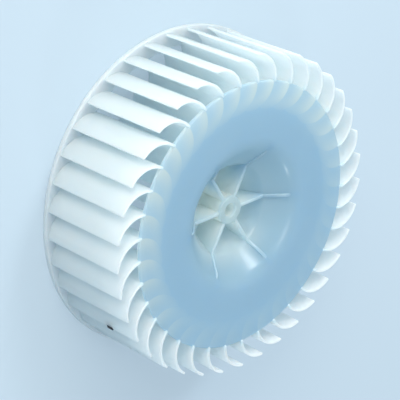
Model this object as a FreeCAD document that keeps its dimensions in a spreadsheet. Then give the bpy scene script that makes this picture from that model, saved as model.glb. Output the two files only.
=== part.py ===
import FreeCAD, Part
import math
import os
import Sketcher

# Dryer fan impeller: a one-piece moulded blower wheel that stands on its inlet ring.
# The shaft axis is +Z, the ring's free face is z = 0 and the disc with the hub is on top.
# Lengths are millimetres and angles are degrees.

SIZES = [
    # Blades, curved forward on one circular arc
    ("wheel_width", 58.0),
    ("blade_count", 37),
    ("blade_tip_radius", 90.97),
    ("blade_tip_offset", 0.89),
    ("blade_thickness", 1.4),
    ("blade_arc_radius", 16.1),
    ("blade_tip_angle", -6.0),
    ("blade_root_angle", -163.0),
    # Inlet ring
    ("ring_lip", 1.13),
    ("ring_breadth", 10.0),
    ("ring_thickness", 2.7),
    ("ring_edge_round", 0.6),
    # Disc, its face set back from the blade ends
    ("disc_radius", 75.2),
    ("disc_set_back", 0.9),
    ("disc_edge_round", 0.7),
    ("plate_thickness", 2.2),
    ("blade_end_ledge", 1.0),
    # Dish in the middle of the disc, depths from the disc's face
    ("dish_rim_radius", 39.3),
    ("dish_knee_radius", 26.0),
    ("dish_knee_depth", 12.2),
    ("dish_foot_radius", 19.6),
    ("dish_depth", 28.1),
    ("dish_rim_round", 12.0),
    ("dish_knee_round", 5.0),
    ("dish_foot_round", 3.0),
    # Hub and its bore
    ("hub_radius", 8.0),
    ("hub_top_depth", 11.2),
    ("hub_length", 23.9),
    ("hub_edge_round", 0.6),
    ("bore_radius", 4.0),
    ("bore_chamfer", 0.5),
    # Ribs between the hub and the dish
    ("rib_count", 6),
    ("rib_thickness", 2.0),
    ("rib_turn", 6.0),
    ("rib_start_radius", 6.0),
    ("rib_knee_inset", 0.8),
    ("rib_bend_radius", 34.0),
    ("rib_bend_depth", 3.5),
    ("rib_end_overlap", 2.7),
    ("rib_end_depth", 0.1),
    # Balance clip on one blade tip
    ("clip_thickness", 0.4),
    ("clip_length", 4.0),
    ("clip_height", 34.3),
    ("clip_wrap_angle", 1.5),
    ("clip_outer_leg_angle", 4.5),
    ("clip_inner_leg_angle", 12.0),
    ("clip_blade_number", 21),
]

doc = FreeCAD.newDocument("dryer_fan_impeller")
sheet = doc.addObject("Spreadsheet::Sheet", "sizes")
for row, (alias, value) in enumerate(SIZES, start=1):
    sheet.set("A%d" % row, alias)
    sheet.set("B%d" % row, str(value))
    sheet.setAlias("B%d" % row, alias)
doc.recompute()

FULL_TURN = 360.0
CURVE_TOLERANCE = 0.01
START, END, CENTRE = 1, 2, 3
ORIGIN_POINT = (-1, 1)
X_AXIS, Y_AXIS = -1, -2
UPWARD = FreeCAD.Vector(0, 0, 1)
NO_SHIFT = FreeCAD.Vector(0, 0, 0)


class Size:
    """A number together with the sheet expression that gives it."""

    def __init__(self, value, text):
        self.value = value
        self.text = text

    def __add__(self, other):
        return Size(self.value + other.value, "(%s + %s)" % (self.text, other.text))

    def __sub__(self, other):
        return Size(self.value - other.value, "(%s - %s)" % (self.text, other.text))

    def half(self):
        return Size(self.value / 2, "(%s / 2)" % self.text)


def size(alias):
    return Size(float(sheet.get(alias)), "sizes.%s" % alias)


def new_body(name):
    body = doc.addObject("PartDesign::Body", name)
    body.Label = name
    body.Placement = FreeCAD.Placement()
    return body


def origin_item(body, role):
    return [item for item in body.Origin.OriginFeatures if item.Role == role][0]


def new_sketch(body, name, plane_role):
    sketch = body.newObject("Sketcher::SketchObject", name)
    sketch.AttachmentSupport = [(origin_item(body, plane_role), "")]
    sketch.MapMode = "FlatFace"
    return sketch


def tie(sketch, kind, references, length):
    """Add one dimension to a sketch and bind it to the sheet."""
    index = sketch.addConstraint(Sketcher.Constraint(kind, *references, length.value))
    sketch.setExpression("Constraints[%d]" % index, length.text)


def tie_angle(sketch, line, angle):
    index = sketch.addConstraint(Sketcher.Constraint("Angle", line, math.radians(angle.value)))
    sketch.setExpression("Constraints[%d]" % index, angle.text)


def join(sketch, first, first_end, second, second_end):
    sketch.addConstraint(Sketcher.Constraint("Coincident", first, first_end, second, second_end))


def pin(sketch, geometry, point, across, up):
    """Fix one point by its two coordinates. None puts it on the axis."""
    if across is None:
        sketch.addConstraint(Sketcher.Constraint("PointOnObject", geometry, point, Y_AXIS))
    else:
        tie(sketch, "DistanceX", (*ORIGIN_POINT, geometry, point), across)
    if up is None:
        sketch.addConstraint(Sketcher.Constraint("PointOnObject", geometry, point, X_AXIS))
    else:
        tie(sketch, "DistanceY", (*ORIGIN_POINT, geometry, point), up)


def is_loose(corner):
    """A loose corner is a point whose place follows from the lines beside it."""
    return isinstance(corner, FreeCAD.Vector)


def corner_point(corner):
    if is_loose(corner):
        return corner
    across, up = [0.0 if length is None else length.value for length in corner]
    return FreeCAD.Vector(across, up, 0)


def closed_outline(sketch, corners):
    """Draw a closed polygon and tie every corner that isn't loose to the sheet."""
    points = [corner_point(corner) for corner in corners]
    count = len(points)
    for number in range(count):
        sketch.addGeometry(Part.LineSegment(points[number], points[(number + 1) % count]), False)
    for number in range(count):
        join(sketch, number, END, (number + 1) % count, START)
    for number, corner in enumerate(corners):
        if not is_loose(corner):
            pin(sketch, number, START, *corner)


def polar_point(centre, radius, angle):
    turn = math.radians(angle.value)
    return centre + FreeCAD.Vector(math.cos(turn), math.sin(turn), 0) * radius.value


def curved_outline(sketch, corners, tip):
    """Draw a closed loop of concentric arcs and radial lines.

    Each corner is a radius and an angle about the common centre. The second corner
    ends the first arc. It is the blade's tip corner and is pinned at the place given.
    """
    tip_radius, tip_angle = corners[1]
    centre = corner_point(tip) - polar_point(NO_SHIFT, tip_radius, tip_angle)
    count = len(corners)
    heads = []
    tails = []
    for number in range(count):
        radius, angle = corners[number]
        next_radius, next_angle = corners[(number + 1) % count]
        if radius.text == next_radius.text:
            forward = next_angle.value > angle.value
            low, high = (angle, next_angle) if forward else (next_angle, angle)
            circle = Part.Circle(centre, UPWARD, radius.value)
            arc = Part.ArcOfCircle(circle, math.radians(low.value), math.radians(high.value))
            sketch.addGeometry(arc, False)
            tie(sketch, "Radius", (number,), radius)
            if number > 0:
                join(sketch, number, CENTRE, 0, CENTRE)
        else:
            forward = next_radius.value > radius.value
            inner, outer = (radius, next_radius) if forward else (next_radius, radius)
            near = polar_point(centre, inner, angle)
            far = polar_point(centre, outer, angle)
            sketch.addGeometry(Part.LineSegment(near, far), False)
            tie_angle(sketch, number, angle)
            sketch.addConstraint(Sketcher.Constraint("PointOnObject", 0, CENTRE, number))
        heads.append(START if forward else END)
        tails.append(END if forward else START)
    for number in range(count):
        following = (number + 1) % count
        join(sketch, number, tails[number], following, heads[following])
    pin(sketch, 0, tails[0], *tip)


def pad(body, sketch, name, length, side="One side"):
    feature = body.newObject("PartDesign::Pad", name)
    feature.Profile = sketch
    feature.SideType = side
    feature.setExpression("Length", length.text)
    doc.recompute()
    return feature


def turn_about_axis(body, sketch, name, kind):
    feature = body.newObject(kind, name)
    feature.Profile = sketch
    feature.ReferenceAxis = (sketch, ["V_Axis"])
    feature.Angle = FULL_TURN
    doc.recompute()
    return feature


def repeat_about_axis(body, feature, name, count_alias):
    pattern = body.newObject("PartDesign::PolarPattern", name)
    pattern.Originals = [feature]
    pattern.Axis = (origin_item(body, "Z_Axis"), [""])
    pattern.Angle = FULL_TURN
    pattern.setExpression("Occurrences", "sizes.%s" % count_alias)
    body.Tip = pattern
    doc.recompute()


def circle_edges(feature, rings):
    """Names of the full circular edges at the radius and height pairs given."""
    names = []
    for number, edge in enumerate(feature.Shape.Edges, start=1):
        if not isinstance(edge.Curve, Part.Circle):
            continue
        for radius, height in rings:
            same_radius = abs(edge.Curve.Radius - radius) < CURVE_TOLERANCE
            same_height = abs(edge.Curve.Center.z - height) < CURVE_TOLERANCE
            if same_radius and same_height:
                names.append("Edge%d" % number)
    return names


def round_edges(body, feature, name, rings, radius):
    fillet = body.newObject("PartDesign::Fillet", name)
    fillet.Base = (feature, circle_edges(feature, rings))
    fillet.setExpression("Radius", radius.text)
    doc.recompute()
    return fillet


# Shared heights and radii

plate = size("plate_thickness")
disc_top = size("wheel_width") - size("disc_set_back")
disc_under = disc_top - plate
knee_height = disc_top - size("dish_knee_depth")
floor_top = disc_top - size("dish_depth")
floor_under = floor_top - plate
hub_top = disc_top - size("hub_top_depth")
hub_bottom = hub_top - size("hub_length")
hub_radius = size("hub_radius")
disc_radius = size("disc_radius")
foot_radius = size("dish_foot_radius")
knee_radius = size("dish_knee_radius")
rim_radius = size("dish_rim_radius")


def underside_corners(profile, thickness):
    """The profile's inner corners moved square to its lines onto the plate's underside."""
    moved = []
    for before, corner, after in zip(profile, profile[1:], profile[2:]):
        here = corner_point(corner)
        arriving = here - corner_point(before)
        leaving = corner_point(after) - here
        first = math.atan2(arriving.y, arriving.x)
        second = math.atan2(leaving.y, leaving.x)
        middle = (first + second) / 2
        reach = thickness.value / math.cos((second - first) / 2)
        moved.append(here + FreeCAD.Vector(math.sin(middle), -math.cos(middle), 0) * reach)
    return moved


impeller = new_body("impeller")

# Disc, dish and hub turned as one section

upper_line = [
    (hub_radius, floor_top),
    (foot_radius, floor_top),
    (knee_radius, knee_height),
    (rim_radius, disc_top),
    (disc_radius, disc_top),
]
lower_hub = [(None, hub_bottom), (hub_radius, hub_bottom), (hub_radius, floor_under)]
underside = underside_corners(upper_line, plate)
disc_edge = [(disc_radius, disc_under)]
upper_hub = [(hub_radius, hub_top), (None, hub_top)]

section = new_sketch(impeller, "disc_section", "XZ_Plane")
closed_outline(section, lower_hub + underside + disc_edge + upper_line[::-1] + upper_hub)

# The dish's lower wall and slope run parallel to its upper ones, one plate below
lower_wall = len(lower_hub)
lower_slope = lower_wall + 1
lower_disc = lower_wall + 2
upper_disc = len(lower_hub + underside + disc_edge)
upper_slope = upper_disc + 1
upper_wall = upper_disc + 2
for lower, upper in ((lower_wall, upper_wall), (lower_slope, upper_slope)):
    section.addConstraint(Sketcher.Constraint("Parallel", lower, upper))
    tie(section, "Distance", (lower, START, upper), plate)
tie(section, "DistanceY", (*ORIGIN_POINT, lower_wall, START), floor_under)
tie(section, "DistanceY", (*ORIGIN_POINT, lower_disc, START), disc_under)
doc.recompute()

disc = turn_about_axis(impeller, section, "disc_and_hub", "PartDesign::Revolution")

# Roundings of the dish, each pair keeping the plate's thickness

foot_below, knee_below, rim_below = [(corner.x, corner.y) for corner in underside]
rim_above = (rim_radius.value, disc_top.value)
knee_above = (knee_radius.value, knee_height.value)
foot_above = (foot_radius.value, floor_top.value)
rim_round = size("dish_rim_round")
knee_round = size("dish_knee_round")
foot_round = size("dish_foot_round")
disc = round_edges(impeller, disc, "rim_rounding_above", [rim_above], rim_round)
disc = round_edges(impeller, disc, "rim_rounding_below", [rim_below], rim_round - plate)
disc = round_edges(impeller, disc, "knee_rounding_above", [knee_above], knee_round)
disc = round_edges(impeller, disc, "knee_rounding_below", [knee_below], knee_round - plate)
disc = round_edges(impeller, disc, "foot_rounding_above", [foot_above], foot_round)
disc = round_edges(impeller, disc, "foot_rounding_below", [foot_below], foot_round + plate)

hub_ends = [(hub_radius.value, hub_top.value), (hub_radius.value, hub_bottom.value)]
disc = round_edges(impeller, disc, "hub_end_rounding", hub_ends, size("hub_edge_round"))
disc_rims = [(disc_radius.value, disc_top.value), (disc_radius.value, disc_under.value)]
round_edges(impeller, disc, "disc_edge_rounding", disc_rims, size("disc_edge_round"))

# Blades

arc_outer = size("blade_arc_radius")
arc_inner = arc_outer - size("blade_thickness")
tip_angle = size("blade_tip_angle")
root_angle = size("blade_root_angle")
tip_corner = (size("blade_tip_radius"), size("blade_tip_offset"))
blade_corners = [
    (arc_outer, root_angle),
    (arc_outer, tip_angle),
    (arc_inner, tip_angle),
    (arc_inner, root_angle),
]

blade_section = new_sketch(impeller, "blade_section", "XY_Plane")
curved_outline(blade_section, blade_corners, tip_corner)
blade = pad(impeller, blade_section, "blade", size("wheel_width"))
repeat_about_axis(impeller, blade, "blades", "blade_count")

# Blade ends stand proud of the disc's face only beside its rim

ledge_radius = disc_radius - size("blade_end_ledge")
ledge_top = size("wheel_width") + size("disc_set_back")
ledge_corners = [
    (None, disc_top),
    (ledge_radius, disc_top),
    (ledge_radius, ledge_top),
    (None, ledge_top),
]

ledge_section = new_sketch(impeller, "ledge_section", "XZ_Plane")
closed_outline(ledge_section, ledge_corners)
turn_about_axis(impeller, ledge_section, "blade_end_trim", "PartDesign::Groove")

# Inlet ring

ring_outer = size("blade_tip_radius") + size("ring_lip")
ring_inner = ring_outer - size("ring_breadth")
ring_top = size("ring_thickness")
ring_corners = [
    (ring_inner, None),
    (ring_outer, None),
    (ring_outer, ring_top),
    (ring_inner, ring_top),
]

ring_section = new_sketch(impeller, "ring_section", "XZ_Plane")
closed_outline(ring_section, ring_corners)
ring = turn_about_axis(impeller, ring_section, "inlet_ring", "PartDesign::Revolution")
ring_rims = [(ring_outer.value, 0.0), (ring_outer.value, ring_top.value)]
round_edges(impeller, ring, "ring_edge_rounding", ring_rims, size("ring_edge_round"))

# Ribs, flat beside the hub and then climbing the dish to its rim

half_plate = plate.half()
rib_top = hub_top - size("hub_edge_round")
rib_start = size("rib_start_radius")
rib_end = rim_radius + size("rib_end_overlap")
rib_corners = [
    (rib_start, floor_top - half_plate),
    (foot_radius + half_plate, floor_top - half_plate),
    (knee_radius + half_plate, knee_height - half_plate),
    (rib_end, disc_top - half_plate),
    (rib_end, disc_top - size("rib_end_depth")),
    (size("rib_bend_radius"), disc_top - size("rib_bend_depth")),
    (knee_radius - size("rib_knee_inset"), rib_top),
    (rib_start, rib_top),
]

rib_section = new_sketch(impeller, "rib_section", "XZ_Plane")
closed_outline(rib_section, rib_corners)
sketch_upward = FreeCAD.Vector(0, 1, 0)
rib_turn = size("rib_turn")
rib_section.AttachmentOffset = FreeCAD.Placement(
    NO_SHIFT, FreeCAD.Rotation(sketch_upward, rib_turn.value)
)
rib_section.setExpression("AttachmentOffset.Rotation.Angle", rib_turn.text)
rib = pad(impeller, rib_section, "rib", size("rib_thickness"), "Symmetric")
repeat_about_axis(impeller, rib, "ribs", "rib_count")

# Bore through the hub

bore_radius = size("bore_radius")
bore_section = new_sketch(impeller, "bore_section", "XY_Plane")
bore_section.addGeometry(Part.Circle(NO_SHIFT, UPWARD, bore_radius.value), False)
join(bore_section, 0, CENTRE, *ORIGIN_POINT)
tie(bore_section, "Radius", (0,), bore_radius)
bore = impeller.newObject("PartDesign::Pocket", "bore")
bore.Profile = bore_section
bore.Type = "ThroughAll"
bore.SideType = "Symmetric"
doc.recompute()

bore_mouths = [(bore_radius.value, hub_top.value), (bore_radius.value, hub_bottom.value)]
lead_in = impeller.newObject("PartDesign::Chamfer", "bore_lead_in")
lead_in.Base = (bore, circle_edges(bore, bore_mouths))
lead_in.setExpression("Size", "sizes.bore_chamfer")
doc.recompute()

# Small spring-steel balance clip folded over the tip edge of one blade

clip_outside = arc_outer + size("clip_thickness")
clip_inside = arc_inner - size("clip_thickness")
clip_fold = tip_angle + size("clip_wrap_angle")
outer_leg_end = tip_angle - size("clip_outer_leg_angle")
inner_leg_end = tip_angle - size("clip_inner_leg_angle")
clip_corners = [
    (arc_outer, outer_leg_end),
    (arc_outer, tip_angle),
    (arc_inner, tip_angle),
    (arc_inner, inner_leg_end),
    (clip_inside, inner_leg_end),
    (clip_inside, clip_fold),
    (clip_outside, clip_fold),
    (clip_outside, outer_leg_end),
]

balance_clip = new_body("balance_clip")
clip_section = new_sketch(balance_clip, "clip_section", "XY_Plane")
curved_outline(clip_section, clip_corners, tip_corner)
pad(balance_clip, clip_section, "folded_strip", size("clip_length"))
blade_step = FULL_TURN / size("blade_count").value
clip_turn = -blade_step * size("clip_blade_number").value
balance_clip.Placement = FreeCAD.Placement(
    FreeCAD.Vector(0, 0, size("clip_height").value), FreeCAD.Rotation(UPWARD, clip_turn)
)
balance_clip.setExpression("Placement.Base.z", "sizes.clip_height")
balance_clip.setExpression(
    "Placement.Rotation.Angle", "-%g / sizes.blade_count * sizes.clip_blade_number" % FULL_TURN
)
doc.recompute()

# Check every object, then write one file per piece

for item in doc.Objects:
    bad_states = [state for state in item.State if state in ("Invalid", "Error")]
    if bad_states:
        raise RuntimeError("%s did not build: %s" % (item.Name, bad_states))

os.makedirs("parts", exist_ok=True)
for body in (impeller, balance_clip):
    if body.Shape.isNull() or not body.Shape.isValid():
        raise RuntimeError("%s has no valid shape" % body.Label)
    body.Shape.exportStep("parts/%s.step" % body.Label)
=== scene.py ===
import math

import bmesh
import bpy
from mathutils import Matrix, Vector


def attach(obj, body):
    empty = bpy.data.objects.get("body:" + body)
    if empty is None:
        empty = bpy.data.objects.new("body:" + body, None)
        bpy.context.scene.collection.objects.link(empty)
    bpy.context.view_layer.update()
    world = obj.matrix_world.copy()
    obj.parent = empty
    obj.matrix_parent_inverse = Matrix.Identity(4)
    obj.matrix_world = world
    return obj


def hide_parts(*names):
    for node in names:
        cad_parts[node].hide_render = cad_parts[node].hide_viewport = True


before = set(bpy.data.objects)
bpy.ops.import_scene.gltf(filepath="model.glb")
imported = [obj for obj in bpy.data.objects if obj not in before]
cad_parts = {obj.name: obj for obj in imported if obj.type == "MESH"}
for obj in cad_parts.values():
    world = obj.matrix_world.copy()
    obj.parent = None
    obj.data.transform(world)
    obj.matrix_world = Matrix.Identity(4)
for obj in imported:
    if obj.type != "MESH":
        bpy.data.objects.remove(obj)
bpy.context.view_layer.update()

# Dryer fan impeller: a forward-curved blower wheel moulded in milky polypropylene.
# The shaft axis is +Z and the wheel stands on its inlet ring. Lengths are metres.

MM = 0.001
WHEEL_WIDTH = 58.0 * MM

BLADE_COUNT = 37
BLADE_THICKNESS = 1.4 * MM
BLADE_ARC_RADIUS = 15.4 * MM
BLADE_ARC_CENTRE = (74.958 * MM, 2.573 * MM)
BLADE_ARC_POINTS = 33
BLADE_ROOT_ANGLE = math.radians(-163.0)
BLADE_TIP_ANGLE = math.radians(-6.0)
BLADE_STEP = math.tau / BLADE_COUNT
BLADE_CORNER_ROUND = 0.4 * MM

DISC_FACE = 57.1 * MM
DISC_RADIUS = 75.2 * MM
DISC_EDGE_ROUND = 0.7 * MM
PLATE_THICKNESS = 2.2 * MM
LEDGE_RADIUS = 74.2 * MM

DISH_RIM_RADIUS = 39.3 * MM
DISH_RIM_ROUND = 12.0 * MM
DISH_KNEE_RADIUS = 26.0 * MM
DISH_KNEE_HEIGHT = 44.9 * MM
DISH_KNEE_ROUND = 5.0 * MM
DISH_FOOT_RADIUS = 19.6 * MM
DISH_FLOOR = 29.0 * MM
DISH_FOOT_ROUND = 3.0 * MM

HUB_RADIUS = 8.0 * MM
HUB_TOP = 45.9 * MM
HUB_BOTTOM = 22.0 * MM
HUB_EDGE_ROUND = 0.6 * MM
HUB_FOOT_ROUND = 1.0 * MM
BORE_RADIUS = 4.0 * MM
BORE_EDGE_ROUND = 0.5 * MM

RIB_COUNT = 6
RIB_TURN = math.radians(6.0)
RIB_THICKNESS = 2.0 * MM
RIB_EDGE_ROUND = 0.45 * MM
RIB_START_RADIUS = 6.0 * MM
RIB_KNEE_INSET = 0.8 * MM
RIB_BEND_RADIUS = 34.0 * MM
RIB_BEND_DEPTH = 3.5 * MM
RIB_END_RADIUS = 42.0 * MM
RIB_END_DEPTH = 0.1 * MM

RING_INNER_RADIUS = 82.1 * MM
RING_OUTER_RADIUS = 92.1 * MM
RING_THICKNESS = 2.7 * MM
RING_OUTER_ROUND = 0.6 * MM
RING_INNER_ROUND = 0.3 * MM

# Fineness of the meshes, and the angles from which a corner is rounded and an edge shaded sharp

TURNING_STEPS = 296
ARC_STEP = math.radians(9.0)
CORNER_ANGLE = math.radians(50.0)
SHARP_ANGLE = math.radians(32.0)


# Node trees

class Term:
    """A socket that takes part in sums and products, so that a pattern reads as its formula."""

    def __init__(self, tree, socket):
        self.tree = tree
        self.socket = socket

    def apply(self, operation, *others):
        node = self.tree.nodes.new("ShaderNodeMath")
        node.operation = operation
        for number, term in enumerate((self, *others)):
            if isinstance(term, Term):
                self.tree.links.new(term.socket, node.inputs[number])
            else:
                node.inputs[number].default_value = term
        return Term(self.tree, node.outputs[0])

    def __add__(self, other):
        return self.apply("ADD", other)

    def __sub__(self, other):
        return self.apply("SUBTRACT", other)

    def __mul__(self, other):
        return self.apply("MULTIPLY", other)

    def __truediv__(self, other):
        return self.apply("DIVIDE", other)


def add_node(tree, kind, inputs=None, **options):
    """Add a node with its options set, and fill or link the inputs named."""
    node = tree.nodes.new(kind)
    for name, value in options.items():
        setattr(node, name, value)
    for name, value in (inputs or {}).items():
        if isinstance(value, Term):
            tree.links.new(value.socket, node.inputs[name])
        elif isinstance(value, bpy.types.NodeSocket):
            tree.links.new(value, node.inputs[name])
        else:
            node.inputs[name].default_value = value
    return node


class Spot:
    """The X, Y and Z of a place, and its distance from the shaft axis."""

    def __init__(self, tree, place):
        split = add_node(tree, "ShaderNodeSeparateXYZ", {"Vector": place})
        self.across, self.along, self.height = [Term(tree, split.outputs[axis]) for axis in "XYZ"]
        self.radius = (self.across * self.across + self.along * self.along).apply("SQRT")


def new_geometry_tree(name, sizes):
    """A geometry tree with one input for each size, and the sockets that give them."""
    tree = bpy.data.node_groups.new(name, "GeometryNodeTree")
    tree.interface.new_socket("Geometry", in_out="INPUT", socket_type="NodeSocketGeometry")
    for label, kind in sizes:
        tree.interface.new_socket(label, in_out="INPUT", socket_type=kind)
    tree.interface.new_socket("Geometry", in_out="OUTPUT", socket_type="NodeSocketGeometry")
    return tree, tree.nodes.new("NodeGroupInput").outputs


def finish_tree(tree, geometry, material):
    """Realize the instances and give them their material."""
    real = add_node(tree, "GeometryNodeRealizeInstances", {"Geometry": geometry})
    painted = add_node(
        tree, "GeometryNodeSetMaterial", {"Geometry": real.outputs["Geometry"], "Material": material}
    )
    output = tree.nodes.new("NodeGroupOutput")
    tree.links.new(painted.outputs["Geometry"], output.inputs["Geometry"])


def repeat_round_axis(tree, inputs, geometry):
    """Instances of the geometry turned about +Z, each one step after the one before."""
    points = add_node(tree, "GeometryNodePoints", {"Count": inputs["Count"]})
    index = tree.nodes.new("GeometryNodeInputIndex").outputs["Index"]
    turn = Term(tree, index) * Term(tree, inputs["Step Angle"]) + Term(tree, inputs["First Angle"])
    rotation = add_node(tree, "FunctionNodeAxisAngleToRotation", {"Axis": (0, 0, 1), "Angle": turn})
    copies = add_node(
        tree,
        "GeometryNodeInstanceOnPoints",
        {
            "Points": points.outputs["Geometry"],
            "Instance": geometry,
            "Rotation": rotation.outputs["Rotation"],
        },
    )
    return copies.outputs["Instances"]


REPEAT_SIZES = [
    ("Count", "NodeSocketInt"),
    ("First Angle", "NodeSocketFloat"),
    ("Step Angle", "NodeSocketFloat"),
    ("Material", "NodeSocketMaterial"),
]


def make_blade_tree():
    """Blades swept along one arc, cut down to the disc inside its rim, and set round the axis."""
    sizes = REPEAT_SIZES + [
        ("Arc Radius", "NodeSocketFloat"),
        ("Arc Centre", "NodeSocketVector"),
        ("Root Angle", "NodeSocketFloat"),
        ("Sweep Angle", "NodeSocketFloat"),
        ("Thickness", "NodeSocketFloat"),
        ("Width", "NodeSocketFloat"),
        ("Disc Face", "NodeSocketFloat"),
        ("Ledge Radius", "NodeSocketFloat"),
    ]
    tree, inputs = new_geometry_tree("Blade wheel", sizes)
    arc = add_node(
        tree,
        "GeometryNodeCurveArc",
        {
            "Resolution": BLADE_ARC_POINTS,
            "Radius": inputs["Arc Radius"],
            "Start Angle": inputs["Root Angle"],
            "Sweep Angle": inputs["Sweep Angle"],
        },
        mode="RADIUS",
    )
    upright = add_node(
        tree, "GeometryNodeSetCurveNormal", {"Curve": arc.outputs["Curve"]}, mode="Z_UP"
    )
    section = add_node(
        tree,
        "GeometryNodeCurvePrimitiveQuadrilateral",
        {"Width": inputs["Thickness"], "Height": inputs["Width"]},
        mode="RECTANGLE",
    )
    swept = add_node(
        tree,
        "GeometryNodeCurveToMesh",
        {
            "Curve": upright.outputs["Curve"],
            "Profile Curve": section.outputs["Curve"],
            "Fill Caps": True,
        },
    )
    half_up = add_node(tree, "ShaderNodeCombineXYZ", {"Z": Term(tree, inputs["Width"]) * 0.5})
    lift = add_node(
        tree, "ShaderNodeVectorMath", {0: inputs["Arc Centre"], 1: half_up.outputs[0]}, operation="ADD"
    )
    placed = add_node(
        tree,
        "GeometryNodeTransform",
        {"Geometry": swept.outputs["Mesh"], "Translation": lift.outputs[0]},
    )
    spot = Spot(tree, tree.nodes.new("GeometryNodeInputPosition").outputs["Position"])
    disc_face = Term(tree, inputs["Disc Face"])
    inside = Term(tree, inputs["Ledge Radius"]).apply("GREATER_THAN", spot.radius)
    above = spot.height.apply("GREATER_THAN", disc_face)
    drop = inside * above * (spot.height - disc_face + PLATE_THICKNESS / 2) * -1.0
    shift = add_node(tree, "ShaderNodeCombineXYZ", {"Z": drop})
    trimmed = add_node(
        tree,
        "GeometryNodeSetPosition",
        {"Geometry": placed.outputs["Geometry"], "Offset": shift.outputs[0]},
    )
    copies = repeat_round_axis(tree, inputs, trimmed.outputs["Geometry"])
    finish_tree(tree, copies, inputs["Material"])
    return tree


def make_repeat_tree():
    """The piece's own mesh set round the axis."""
    tree, inputs = new_geometry_tree("Pieces round the axis", REPEAT_SIZES)
    finish_tree(tree, repeat_round_axis(tree, inputs, inputs["Geometry"]), inputs["Material"])
    return tree


# Pieces

def new_piece(name, mesh):
    piece = bpy.data.objects.new(name, mesh)
    bpy.context.scene.collection.objects.link(piece)
    return piece


def mesh_from(form, name):
    """Turn a bmesh into a mesh and free it."""
    mesh = bpy.data.meshes.new(name)
    form.to_mesh(mesh)
    form.free()
    return mesh


def plain_mesh(piece):
    """Apply the piece's modifiers and leave it with the mesh that they give."""
    graph = bpy.context.evaluated_depsgraph_get()
    mesh = bpy.data.meshes.new_from_object(piece.evaluated_get(graph), depsgraph=graph)
    piece.modifiers.clear()
    piece.data = mesh


def shape_with(piece, tree, values):
    """Give the piece a geometry tree, with the value of each named input."""
    modifier = piece.modifiers.new(tree.name, "NODES")
    modifier.node_group = tree
    for item in tree.interface.items_tree:
        if item.item_type == "SOCKET" and item.in_out == "INPUT" and item.name in values:
            modifier[item.identifier] = values[item.name]


def round_corners(piece, width, segments):
    bevel = piece.modifiers.new("Rounded corners", "BEVEL")
    bevel.width = width
    bevel.segments = segments
    bevel.limit_method = "ANGLE"
    bevel.angle_limit = CORNER_ANGLE


def smooth(piece):
    mesh = piece.data
    mesh.polygons.foreach_set("use_smooth", [True] * len(mesh.polygons))
    mesh.set_sharp_from_angle(angle=SHARP_ANGLE)
    mesh.update()


def rounded_outline(corners):
    """Points of a closed outline in (radius, height) whose corners have their own roundings."""
    points = []
    count = len(corners)
    for number, (radius, height, rounding) in enumerate(corners):
        here = Vector((radius, height))
        before = Vector(corners[number - 1][:2])
        after = Vector(corners[(number + 1) % count][:2])
        arriving = (here - before).normalized()
        leaving = (after - here).normalized()
        turn = math.atan2(arriving.cross(leaving), arriving.dot(leaving))
        start = here - arriving * rounding * math.tan(abs(turn) / 2)
        side = Vector((-arriving.y, arriving.x)) * math.copysign(rounding, turn)
        centre = start + side
        steps = max(2, math.ceil(abs(turn) / ARC_STEP))
        for step in range(steps + 1):
            points.append(centre + Matrix.Rotation(turn * step / steps, 2) @ -side)
    return points


def turned_mesh(name, outline, inlet_side=()):
    """A closed outline turned round the shaft axis, with the points of its inlet side marked."""
    form = bmesh.new()
    mark = form.verts.layers.float.new("inlet_side")
    rows = []
    for step in range(TURNING_STEPS):
        angle = math.tau * step / TURNING_STEPS
        across, along = math.cos(angle), math.sin(angle)
        row = [form.verts.new((p.x * across, p.x * along, p.y)) for p in outline]
        for number in inlet_side:
            row[number][mark] = 1.0
        rows.append(row)
    count = len(outline)
    for step in range(TURNING_STEPS):
        row, next_row = rows[step], rows[(step + 1) % TURNING_STEPS]
        for number in range(count):
            following = (number + 1) % count
            form.faces.new((row[number], next_row[number], next_row[following], row[following]))
    bmesh.ops.recalc_face_normals(form, faces=form.faces)
    return mesh_from(form, name)


def plate_underside(profile, thickness):
    """The profile's inner corners moved square to its lines onto the plate's underside."""
    moved = []
    for before, corner, after in zip(profile, profile[1:], profile[2:]):
        here = Vector(corner[:2])
        arriving = here - Vector(before[:2])
        leaving = Vector(after[:2]) - here
        first = math.atan2(arriving.y, arriving.x)
        second = math.atan2(leaving.y, leaving.x)
        middle = (first + second) / 2
        reach = thickness / math.cos((second - first) / 2)
        rounding = corner[2] + (thickness if second > first else -thickness)
        place = here + Vector((math.sin(middle), -math.cos(middle))) * reach
        moved.append((place.x, place.y, rounding))
    return moved


# Colours of the plastic, and of the light that comes through its blades

THICK_MILK = (0.95, 0.97, 0.955)
THIN_MILK = (0.57, 0.78, 0.93)
DISC_MILK = (0.545, 0.735, 0.875)
RIM_MILK = (0.95, 0.95, 0.885)
DISH_MILK = (0.565, 0.735, 0.83)
# The next colour paints light into the dish's floor and onto the ribs' ridges
PAINTED_LIGHT_MILK = (0.85, 0.935, 0.955)
CREAM = (0.93, 0.97, 0.94)
BLADE_GLOW = (0.91, 0.965, 0.98)

# Share of the light that comes through a wall

BLADE_SHARE = 0.65
DISC_SHARE = 0.75
RIB_SHARE = 0.6

# The plastic's satin skin, and how deep light goes into the milk below it

PLASTIC_IOR = 1.49
SKIN_ROUGHNESS = 0.16
FLOW_ROUGHNESS = 0.1
GRAIN_SCALE = 900.0
FLOW_SCALE = 60.0
FLOW_RELIEF = 2.0
RELIEF_STRENGTH = 0.05
RELIEF_HEIGHT = 0.2 * MM
MILK_DEPTH = 1.5 * MM
MILK_DEPTH_BY_COLOUR = (0.9, 1.0, 1.1)

# Cloudy pattern in the milk

BLADE_CLOUD_SCALE = 35.0
DISC_CLOUD_SCALE = 30.0
RIB_CLOUD_SCALE = 60.0
BLADE_CLOUD = 0.16
DISC_CLOUD = 0.24
RIB_CLOUD = 0.16
RING_CLOUD = 0.3

# How much the blades below lighten the disc, partly as painted light, and roughly which way the key
# light is, where that painted light is strongest

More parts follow.
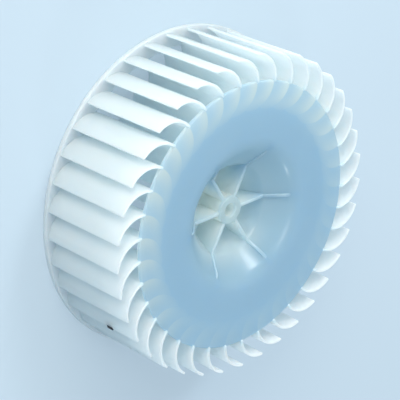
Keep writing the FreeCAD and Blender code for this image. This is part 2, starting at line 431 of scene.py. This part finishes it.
BLADE_ZONE_SHARE = 0.28
BACKING_SHARE = 0.42
TOWARDS_KEY_LIGHT = (0.57, 0.82)

# Where the shade changes: each pair is the start and the end of one smooth change

BLADE_ROOT_SHADE_RADII = (86.0 * MM, 60.0 * MM)
FUSED_RADII = (79.0 * MM, 75.0 * MM)
FUSED_HEIGHTS = (55.0 * MM, 57.0 * MM)
BACKING_FACE = (10.0 * MM, 0.0)
BACKING_EDGE = (-0.3 * MM, 0.6 * MM)
BACKING_RADII = (57.0 * MM, 68.0 * MM)
BLADE_ZONE_RADII = (56.0 * MM, 74.0 * MM)
KEY_LIGHT_PAINT_SPAN = (-60.0 * MM, 40.0 * MM)
LOW_SIDE = (6.0 * MM, -14.0 * MM)
HIGH_SIDE = (-14.0 * MM, 6.0 * MM)
DISH_RADII = (46.0 * MM, 34.0 * MM)
PAINTED_DEEP_LIGHT_RADII = (36.0 * MM, 22.0 * MM)
PAINTED_FLOOR_LIGHT_HEIGHTS = (42.0 * MM, 30.0 * MM)
HUB_RADII = (14.0 * MM, 8.3 * MM)
PAINTED_TOP_SHADE_HEIGHTS = (HUB_TOP, HUB_TOP - 3.0 * MM)
RIB_RADII = (9.0 * MM, 26.0 * MM)
RIB_HEIGHTS = (29.0 * MM, 43.0 * MM)
RIB_END_RADII = (26.0 * MM, 33.0 * MM)
RIB_RIDGE_LIGHT_RADII = (27.0 * MM, 33.0 * MM)

# Blued steel of the clip

STEEL_DARK = (0.008, 0.009, 0.012)
STEEL_PALE = (0.03, 0.033, 0.04)
STEEL_METALLIC = 0.7
STEEL_ROUGHNESS = 0.35
STEEL_GRAIN_ROUGHNESS = 0.2
STEEL_GRAIN_SCALE = 2500.0

# Sockets of a mix node that hold its two colours and the mixed one

MIX_FIRST = 6
MIX_SECOND = 7
MIX_RESULT = 2


# Materials

def new_material(name):
    material = bpy.data.materials.new(name)
    material.use_nodes = True
    tree = material.node_tree
    tree.nodes.clear()
    return material, tree


def set_surface(tree, shader, kind="ShaderNodeOutputMaterial"):
    output = tree.nodes.new(kind)
    tree.links.new(shader.outputs[0], output.inputs["Surface"])


def object_place(tree):
    return tree.nodes.new("ShaderNodeTexCoord").outputs["Object"]


def fade(tree, value, span, least=0.0, most=1.0):
    """The least before the span's start, the most past its end and smooth between.

    A span may run from a high value to a low one.
    """
    node = add_node(
        tree,
        "ShaderNodeMapRange",
        {"Value": value, "From Min": span[0], "From Max": span[1], "To Min": least, "To Max": most},
        interpolation_type="SMOOTHSTEP",
    )
    return Term(tree, node.outputs["Result"])


def noise(tree, place, scale, detail=3.0):
    node = add_node(tree, "ShaderNodeTexNoise", {"Vector": place, "Scale": scale, "Detail": detail})
    return Term(tree, node.outputs["Fac"])


def mix_colours(tree, share, first, second):
    node = add_node(tree, "ShaderNodeMix", data_type="RGBA")
    tree.links.new(share.socket, node.inputs["Factor"])
    for socket, colour in ((node.inputs[MIX_FIRST], first), (node.inputs[MIX_SECOND], second)):
        if isinstance(colour, bpy.types.NodeSocket):
            tree.links.new(colour, socket)
        else:
            socket.default_value = (*colour, 1.0)
    return node.outputs[MIX_RESULT]


def blade_backing(tree, spot):
    """How much of the blade below shows through the disc.

    It is brightest along each blade and fades across the gap on the blade's hollow side.
    """
    radius = spot.radius
    angle = spot.along.apply("ARCTAN2", spot.across)
    centre_radius = math.hypot(*BLADE_ARC_CENTRE)
    centre_angle = math.atan2(BLADE_ARC_CENTRE[1], BLADE_ARC_CENTRE[0])
    square_gap = centre_radius ** 2 - BLADE_ARC_RADIUS ** 2
    cosine = (radius * radius + square_gap) / (radius * (2 * centre_radius))
    bow = cosine.apply("MINIMUM", 1.0).apply("ARCCOSINE")
    number = ((angle + bow - centre_angle) / BLADE_STEP).apply("FLOOR")
    turned = angle - number * BLADE_STEP
    side = radius * turned.apply("COSINE") - BLADE_ARC_CENTRE[0]
    rise = radius * turned.apply("SINE") - BLADE_ARC_CENTRE[1]
    hollow = (side * side + rise * rise).apply("SQRT") * -1.0 + BLADE_ARC_RADIUS
    face = fade(tree, hollow, BACKING_FACE)
    edge = fade(tree, hollow, BACKING_EDGE)
    reach = fade(tree, radius, BACKING_RADII)
    return face * edge * reach


def milky_surface(tree, colour, glow, share, place):
    """Natural polypropylene under a satin skin.

    The share of the light comes through the wall, in the colour of the glow.
    """
    grain = noise(tree, place, GRAIN_SCALE, detail=2.0)
    flow = noise(tree, place, FLOW_SCALE)
    bump = add_node(
        tree,
        "ShaderNodeBump",
        {
            "Strength": RELIEF_STRENGTH,
            "Distance": RELIEF_HEIGHT,
            "Height": grain + flow * FLOW_RELIEF,
        },
    )
    skin = add_node(
        tree,
        "ShaderNodeBsdfPrincipled",
        {
            "Base Color": colour,
            "Roughness": flow * FLOW_ROUGHNESS + SKIN_ROUGHNESS,
            "IOR": PLASTIC_IOR,
            "Specular IOR Level": 1.0,
            "Subsurface Weight": 1.0,
            "Subsurface Radius": MILK_DEPTH_BY_COLOUR,
            "Subsurface Scale": MILK_DEPTH,
            "Normal": bump.outputs["Normal"],
        },
    )
    through = add_node(tree, "ShaderNodeBsdfTranslucent", {"Color": glow})
    mixed = add_node(tree, "ShaderNodeMixShader", {0: share, 1: skin.outputs[0], 2: through.outputs[0]})
    set_surface(tree, mixed)


def make_blade_plastic():
    """Thick milk, a little bluer towards the roots as painted shade, and thinner where a blade's end
    meets the disc.
    """
    material, tree = new_material("milky_plastic_blades")
    place = object_place(tree)
    spot = Spot(tree, place)
    # Painted shade: the blades turn a little bluer towards their roots, deep inside the wheel
    painted_root_shade = fade(tree, spot.radius, BLADE_ROOT_SHADE_RADII, most=0.05)
    cloud = noise(tree, place, BLADE_CLOUD_SCALE) * BLADE_CLOUD
    fused = fade(tree, spot.radius, FUSED_RADII, most=0.6) * fade(tree, spot.height, FUSED_HEIGHTS)
    colour = mix_colours(tree, painted_root_shade + cloud + fused, THICK_MILK, THIN_MILK)
    milky_surface(tree, colour, (*BLADE_GLOW, 1.0), BLADE_SHARE, place)
    return material


def painted_top_shade(tree, height):
    """1 on the walls of the hub and ribs, and less on their top faces, which get painted shade."""
    return fade(tree, height, PAINTED_TOP_SHADE_HEIGHTS, least=0.5)


def make_disc_plastic():
    """Blades show through, with painted light strongest on the key light's side; the dish gets painted
    light towards -X and on its floor, and the hub's top painted shade.
    """
    material, tree = new_material("milky_plastic_disc")
    place = object_place(tree)
    spot = Spot(tree, place)
    # The blades below and the rim zone lighten the disc, partly as thicker milk and partly as painted
    # light, strongest towards the key light
    backing = blade_backing(tree, spot) * BACKING_SHARE
    blade_zone = fade(tree, spot.radius, BLADE_ZONE_RADII, most=BLADE_ZONE_SHARE)
    cloud = noise(tree, place, DISC_CLOUD_SCALE) * DISC_CLOUD - DISC_CLOUD / 2
    towards_light = spot.across * TOWARDS_KEY_LIGHT[0] + spot.along * TOWARDS_KEY_LIGHT[1]
    painted_key_light = fade(tree, towards_light, KEY_LIGHT_PAINT_SPAN, least=0.3)
    milk = (backing + blade_zone) * painted_key_light + cloud
    milk = milk.apply("MINIMUM", 1.0).apply("MAXIMUM", 0.0)
    plate = mix_colours(tree, milk, DISC_MILK, RIM_MILK)
    dish = mix_colours(tree, fade(tree, spot.radius, DISH_RADII), plate, DISH_MILK)
    # Painted light: the dish's deep part is paler towards -X and near its floor, where the lamps leave
    # it in shade
    painted_light_towards_minus_x = fade(tree, spot.across, LOW_SIDE, least=0.3)
    floor = fade(tree, spot.height, PAINTED_FLOOR_LIGHT_HEIGHTS, most=0.7)
    painted_deep_light = fade(tree, spot.radius, PAINTED_DEEP_LIGHT_RADII) * painted_light_towards_minus_x + floor
    dish_with_painted_light = mix_colours(tree, painted_deep_light, dish, PAINTED_LIGHT_MILK)
    # The hub's walls are cream and its top face gets painted shade
    hub = mix_colours(tree, painted_top_shade(tree, spot.height), DISH_MILK, CREAM)
    outside = mix_colours(tree, fade(tree, spot.radius, HUB_RADII), dish_with_painted_light, hub)
    inlet_side = add_node(tree, "ShaderNodeAttribute", attribute_name="inlet_side").outputs["Fac"]
    colour = mix_colours(tree, Term(tree, inlet_side), outside, THICK_MILK)
    milky_surface(tree, colour, colour, DISC_SHARE, place)
    return material


def make_rib_plastic():
    """Cream beside the hub, nearer to the dish's colour further out, most towards +X and higher up,
    which paints light towards -X and low down; the ridge ends towards +X get painted light, the top
    edges painted shade.
    """
    material, tree = new_material("milky_plastic_ribs")
    place = object_place(tree)
    spot = Spot(tree, place)
    cloud = noise(tree, place, RIB_CLOUD_SCALE) * RIB_CLOUD
    # Painted light and shade: the walls keep more cream towards -X and low down, and more of the dish's
    # colour towards +X and higher up
    rib_painted_shade_towards_plus_x = fade(tree, spot.across, HIGH_SIDE, least=0.3, most=0.8)
    rib_painted_shade_upwards = fade(tree, spot.height, RIB_HEIGHTS, least=0.3)
    outward = fade(tree, spot.radius, RIB_RADII) * rib_painted_shade_towards_plus_x * rib_painted_shade_upwards
    outer_end = fade(tree, spot.radius, RIB_END_RADII, most=0.5)
    # The ribs' top edges get painted shade
    inner = mix_colours(tree, painted_top_shade(tree, spot.height), DISH_MILK, CREAM)
    wall = mix_colours(tree, outward + outer_end + cloud, inner, DISH_MILK)
    # Painted highlight along the outer ends of the ridges towards +X
    painted_ridge_light = fade(tree, spot.radius, RIB_RIDGE_LIGHT_RADII) * fade(tree, spot.across, HIGH_SIDE, most=0.15)
    colour = mix_colours(tree, painted_ridge_light, wall, PAINTED_LIGHT_MILK)
    milky_surface(tree, colour, colour, RIB_SHARE, place)
    return material


def make_ring_plastic():
    material, tree = new_material("milky_plastic_ring")
    place = object_place(tree)
    cloud = noise(tree, place, BLADE_CLOUD_SCALE) * RING_CLOUD
    colour = mix_colours(tree, cloud, THICK_MILK, THIN_MILK)
    milky_surface(tree, colour, (*BLADE_GLOW, 1.0), BLADE_SHARE, place)
    return material


def make_dark_steel():
    """Blued spring steel with a fine rolled grain."""
    material, tree = new_material("dark_spring_steel")
    grain = noise(tree, object_place(tree), STEEL_GRAIN_SCALE, detail=4.0)
    colour = mix_colours(tree, grain, STEEL_DARK, STEEL_PALE)
    steel = add_node(
        tree,
        "ShaderNodeBsdfPrincipled",
        {
            "Base Color": colour,
            "Metallic": STEEL_METALLIC,
            "Roughness": grain * STEEL_GRAIN_ROUGHNESS + STEEL_ROUGHNESS,
        },
    )
    set_surface(tree, steel)
    return material


blade_plastic = make_blade_plastic()
disc_plastic = make_disc_plastic()
rib_plastic = make_rib_plastic()
ring_plastic = make_ring_plastic()
dark_steel = make_dark_steel()

# Blades

blades = new_piece("blades", bpy.data.meshes.new("blades"))
shape_with(
    blades,
    make_blade_tree(),
    {
        "Count": BLADE_COUNT,
        "First Angle": 0.0,
        "Step Angle": BLADE_STEP,
        "Material": blade_plastic,
        "Arc Radius": BLADE_ARC_RADIUS,
        "Arc Centre": (*BLADE_ARC_CENTRE, 0.0),
        "Root Angle": BLADE_ROOT_ANGLE,
        "Sweep Angle": BLADE_TIP_ANGLE - BLADE_ROOT_ANGLE,
        "Thickness": BLADE_THICKNESS,
        "Width": WHEEL_WIDTH,
        "Disc Face": DISC_FACE,
        "Ledge Radius": LEDGE_RADIUS,
    },
)
round_corners(blades, BLADE_CORNER_ROUND, segments=2)
plain_mesh(blades)
smooth(blades)

# Disc with its dish and hub

upper_profile = [
    (HUB_RADIUS, DISH_FLOOR, HUB_FOOT_ROUND),
    (DISH_FOOT_RADIUS, DISH_FLOOR, DISH_FOOT_ROUND),
    (DISH_KNEE_RADIUS, DISH_KNEE_HEIGHT, DISH_KNEE_ROUND),
    (DISH_RIM_RADIUS, DISC_FACE, DISH_RIM_ROUND),
    (DISC_RADIUS, DISC_FACE, DISC_EDGE_ROUND),
]
disc_outline = [
    (BORE_RADIUS, HUB_BOTTOM, BORE_EDGE_ROUND),
    (HUB_RADIUS, HUB_BOTTOM, HUB_EDGE_ROUND),
    (HUB_RADIUS, DISH_FLOOR - PLATE_THICKNESS, HUB_FOOT_ROUND),
    *plate_underside(upper_profile, PLATE_THICKNESS),
    (DISC_RADIUS, DISC_FACE - PLATE_THICKNESS, DISC_EDGE_ROUND),
    *upper_profile[::-1],
    (HUB_RADIUS, HUB_TOP, HUB_EDGE_ROUND),
    (BORE_RADIUS, HUB_TOP, BORE_EDGE_ROUND),
]
disc_points = rounded_outline(disc_outline)
rim_point = max(range(len(disc_points)), key=lambda number: disc_points[number].x)
disc = new_piece("disc", turned_mesh("disc", disc_points, range(rim_point)))
disc.data.materials.append(disc_plastic)
smooth(disc)

# Ribs between the hub and the dish

half_plate = PLATE_THICKNESS / 2
rib_top = HUB_TOP - HUB_EDGE_ROUND
rib_outline = [
    (RIB_START_RADIUS, DISH_FLOOR - half_plate),
    (DISH_FOOT_RADIUS + half_plate, DISH_FLOOR - half_plate),
    (DISH_KNEE_RADIUS + half_plate, DISH_KNEE_HEIGHT - half_plate),
    (RIB_END_RADIUS, DISC_FACE - half_plate),
    (RIB_END_RADIUS, DISC_FACE - RIB_END_DEPTH),
    (RIB_BEND_RADIUS, DISC_FACE - RIB_BEND_DEPTH),
    (DISH_KNEE_RADIUS - RIB_KNEE_INSET, rib_top),
    (RIB_START_RADIUS, rib_top),
]


def rib_mesh():
    """One rib standing in the XZ plane, its wall half to each side."""
    form = bmesh.new()
    sides = []
    for side in (-RIB_THICKNESS / 2, RIB_THICKNESS / 2):
        sides.append([form.verts.new((reach, side, height)) for reach, height in rib_outline])
    count = len(rib_outline)
    form.faces.new(sides[0])
    form.faces.new(sides[1][::-1])
    for number in range(count):
        following = (number + 1) % count
        corners = (sides[0][number], sides[1][number], sides[1][following], sides[0][following])
        form.faces.new(corners)
    bmesh.ops.recalc_face_normals(form, faces=form.faces)
    return mesh_from(form, "ribs")


ribs = new_piece("ribs", rib_mesh())
round_corners(ribs, RIB_EDGE_ROUND, segments=3)
shape_with(
    ribs,
    make_repeat_tree(),
    {
        "Count": RIB_COUNT,
        "First Angle": RIB_TURN,
        "Step Angle": math.tau / RIB_COUNT,
        "Material": rib_plastic,
    },
)
plain_mesh(ribs)
smooth(ribs)

# Inlet ring

ring_outline = [
    (RING_INNER_RADIUS, 0.0, RING_INNER_ROUND),
    (RING_OUTER_RADIUS, 0.0, RING_OUTER_ROUND),
    (RING_OUTER_RADIUS, RING_THICKNESS, RING_OUTER_ROUND),
    (RING_INNER_RADIUS, RING_THICKNESS, RING_INNER_ROUND),
]
inlet_ring = new_piece("inlet_ring", turned_mesh("inlet_ring", rounded_outline(ring_outline)))
inlet_ring.data.materials.append(ring_plastic)
smooth(inlet_ring)

# The moulding's pieces stand for its CAD node, and the clip keeps its own

for piece in (blades, disc, ribs, inlet_ring):
    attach(piece, "root")
    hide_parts("impeller")

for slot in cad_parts["balance_clip"].material_slots:
    slot.material = dark_steel

# Floor, light and camera

FLOOR_COLOUR = (0.54, 0.665, 0.76)
FLOOR_HALF_WIDTH = 6.0
FLOOR_SQUARES = 8
FLOOR_OWN_COLOUR_SHARE = 0.4

ROOM_COLOUR = (0.76, 0.89, 1.0)
ROOM_STRENGTH = 0.6

# Each softbox: its name, place, aim, width in metres, power in watts and colour

WHITE = (1.0, 1.0, 1.0)
WHEEL_MIDDLE = (0.0, 0.0, 0.03)
HUB_INSIDE = (0.0, 0.0, 0.04)
DISH_SIDE = (0.03, -0.02, 0.055)
SOFTBOXES = [
    ("key_light", (1.03, 1.79, 0.78), WHEEL_MIDDLE, 1.5, 44.0, (1.0, 0.91, 0.81)),
    ("rim_light", (0.82, 0.12, 0.87), HUB_INSIDE, 0.22, 4.0, WHITE),
    ("fill_light", (1.10, 0.30, 0.55), WHEEL_MIDDLE, 1.0, 3.5, (1.0, 0.98, 0.94)),
    ("small_light", (-0.78, -0.46, 0.79), DISH_SIDE, 0.08, 1.2, WHITE),
    ("dish_light", (0.0, 0.1, 1.6), WHEEL_MIDDLE, 0.4, 4.0, WHITE),
]

# The camera: its lens and sensor in millimetres, its other lengths in metres

CAMERA_TARGET = Vector((-1.74, 3.02, 25.54)) * MM
CAMERA_DISTANCE = 0.9376
CAMERA_AZIMUTH = math.radians(91.558)
CAMERA_ELEVATION = math.radians(41.513)
CAMERA_ROLL = math.radians(113.866)
CAMERA_LENS = 154.83
CAMERA_SENSOR = 36.0
CAMERA_NEAR = 0.05
CAMERA_FAR = 50.0


def make_floor():
    """A plain floor. Seen straight or in a gloss it keeps part of its own colour in the shade."""
    form = bmesh.new()
    bmesh.ops.create_grid(
        form, x_segments=FLOOR_SQUARES, y_segments=FLOOR_SQUARES, size=FLOOR_HALF_WIDTH
    )
    floor = new_piece("floor", mesh_from(form, "floor"))
    material, tree = new_material("pale_floor")
    path = tree.nodes.new("ShaderNodeLightPath").outputs
    seen = Term(tree, path["Is Camera Ray"]) + Term(tree, path["Is Glossy Ray"])
    seen = (seen + Term(tree, path["Is Transmission Ray"])).apply("MINIMUM", 1.0)
    shaded = add_node(tree, "ShaderNodeBsdfDiffuse", {"Color": (*FLOOR_COLOUR, 1.0)})
    plain = add_node(tree, "ShaderNodeEmission", {"Color": (*FLOOR_COLOUR, 1.0), "Strength": 1.0})
    surface = add_node(
        tree,
        "ShaderNodeMixShader",
        {0: seen * FLOOR_OWN_COLOUR_SHARE, 1: shaded.outputs[0], 2: plain.outputs[0]},
    )
    set_surface(tree, surface)
    floor.data.materials.append(material)


def make_world():
    world = bpy.data.worlds.new("soft_room")
    world.use_nodes = True
    tree = world.node_tree
    tree.nodes.clear()
    background = add_node(
        tree, "ShaderNodeBackground", {"Color": (*ROOM_COLOUR, 1.0), "Strength": ROOM_STRENGTH}
    )
    set_surface(tree, background, "ShaderNodeOutputWorld")
    bpy.context.scene.world = world


def add_softbox(name, place, target, size, power, colour):
    lamp = bpy.data.lights.new(name, "AREA")
    lamp.size = size
    lamp.energy = power
    lamp.color = colour
    softbox = bpy.data.objects.new(name, lamp)
    bpy.context.scene.collection.objects.link(softbox)
    softbox.location = place
    direction = Vector(target) - Vector(place)
    softbox.rotation_euler = direction.to_track_quat("-Z", "Y").to_euler()


def add_camera():
    """The camera stands where the photograph was taken from, rolled as it was."""
    outward = Vector((
        math.cos(CAMERA_ELEVATION) * math.cos(CAMERA_AZIMUTH),
        math.cos(CAMERA_ELEVATION) * math.sin(CAMERA_AZIMUTH),
        math.sin(CAMERA_ELEVATION),
    ))
    data = bpy.data.cameras.new("camera")
    data.sensor_width = CAMERA_SENSOR
    data.lens = CAMERA_LENS
    data.clip_start = CAMERA_NEAR
    data.clip_end = CAMERA_FAR
    camera = bpy.data.objects.new("camera", data)
    bpy.context.scene.collection.objects.link(camera)
    level = outward.to_track_quat("Z", "Y").to_matrix()
    rolled = level @ Matrix.Rotation(CAMERA_ROLL, 3, "Z")
    place = Matrix.Translation(CAMERA_TARGET + outward * CAMERA_DISTANCE)
    camera.matrix_world = place @ rolled.to_4x4()
    bpy.context.scene.camera = camera


make_floor()
make_world()
for softbox in SOFTBOXES:
    add_softbox(*softbox)
add_camera()

bpy.context.scene.view_settings.view_transform = "Standard"
